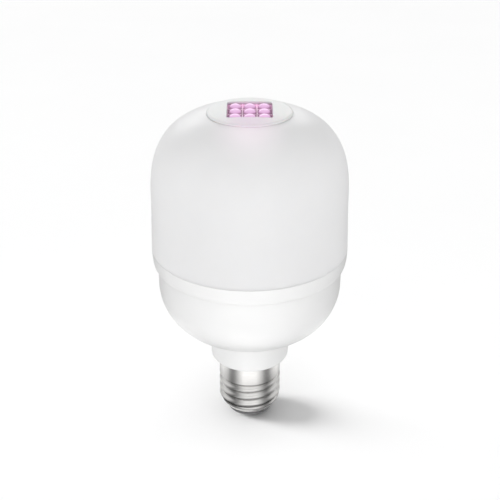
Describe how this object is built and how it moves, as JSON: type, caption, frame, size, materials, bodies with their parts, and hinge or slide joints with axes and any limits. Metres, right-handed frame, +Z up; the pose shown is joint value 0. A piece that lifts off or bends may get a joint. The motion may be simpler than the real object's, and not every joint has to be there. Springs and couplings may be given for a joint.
{
  "type": "smart light bulb",
  "caption": "Smart LED light bulb with a screw cap, bowl-shaped housing, domed milky diffuser and a crown cap with a window of violet LEDs.",
  "frame": {"origin": "centre of the flat end face of the centre contact, at the bottom of the bulb", "axes": "+Z up along the bulb's axis from the screw cap to the crown, -Y towards the viewer, +X to the right"},
  "size_m": [0.0782, 0.0782, 0.1368],
  "materials": {
    "nickel_shell": "bright nickel plating",
    "contact_metal": "tinned contact, lightly scuffed",
    "insulator_glass": "glossy black insulator",
    "housing_white": "smooth white, soft gloss",
    "trim_white": "smooth white, soft gloss",
    "milky_diffuser": "milky translucent, satin",
    "crown_white": "satin white with a faint grey-green cast",
    "tray_plum": "dark plum reflector",
    "violet_lens": "clear domes lit pink-violet",
    "white_board": "white solder mask",
    "led_phosphor": "yellow phosphor",
    "screw_steel": "zinc plated",
    "sink_aluminium": "stamped, satin",
    "post_white": "satin white",
    "green_board": "green solder mask",
    "capacitor_sleeve": "dark blue sleeve",
    "transformer_tape": "yellow winding tape",
    "copper": "bare and enamelled copper",
    "resistor_body": "grey coating",
    "black_epoxy": "moulded black",
    "shield_metal": "tinned shield can",
    "red_insulation": "red wire insulation",
    "black_insulation": "black wire insulation"
  },
  "bodies": {
    "root": {"base_insulator": "insulator_glass", "board_screw_1": "screw_steel", "board_screw_2": "screw_steel", "board_screw_3": "screw_steel", "bridge_rectifier": "black_epoxy", "centre_contact": "contact_metal", "crown_cap": "crown_white", "diffuser": "milky_diffuser", "driver_board": "green_board", "driver_chip": "black_epoxy", "fuse_resistor": "resistor_body", "heat_sink": "sink_aluminium", "housing": "housing_white", "inner_post": "post_white", "input_capacitor": "capacitor_sleeve", "lamp_lead_black": "black_insulation", "lamp_lead_red": "red_insulation", "led_tray": "tray_plum", "light_board": "white_board", "line_inductor": "copper", "live_lead": "copper", "module_header": "black_epoxy", "neutral_lead": "black_insulation", "output_capacitor": "capacitor_sleeve", "radio_shield": "shield_metal", "screw_shell": "nickel_shell", "transformer": "transformer_tape", "trim_ring": "trim_white", "white_led_1": "led_phosphor", "white_led_10": "led_phosphor", "white_led_11": "led_phosphor", "white_led_12": "led_phosphor", "white_led_2": "led_phosphor", "white_led_3": "led_phosphor", "white_led_4": "led_phosphor", "white_led_5": "led_phosphor", "white_led_6": "led_phosphor", "white_led_7": "led_phosphor", "white_led_8": "led_phosphor", "white_led_9": "led_phosphor", "window_board": "white_board", "window_lead_black": "black_insulation", "window_lead_red": "red_insulation", "window_led_1_1": "violet_lens", "window_led_1_2": "violet_lens", "window_led_1_3": "violet_lens", "window_led_2_1": "violet_lens", "window_led_2_2": "violet_lens", "window_led_2_3": "violet_lens", "window_led_3_1": "violet_lens", "window_led_3_2": "violet_lens", "window_led_3_3": "violet_lens", "wireless_board": "green_board"}
  },
  "joints": []
}
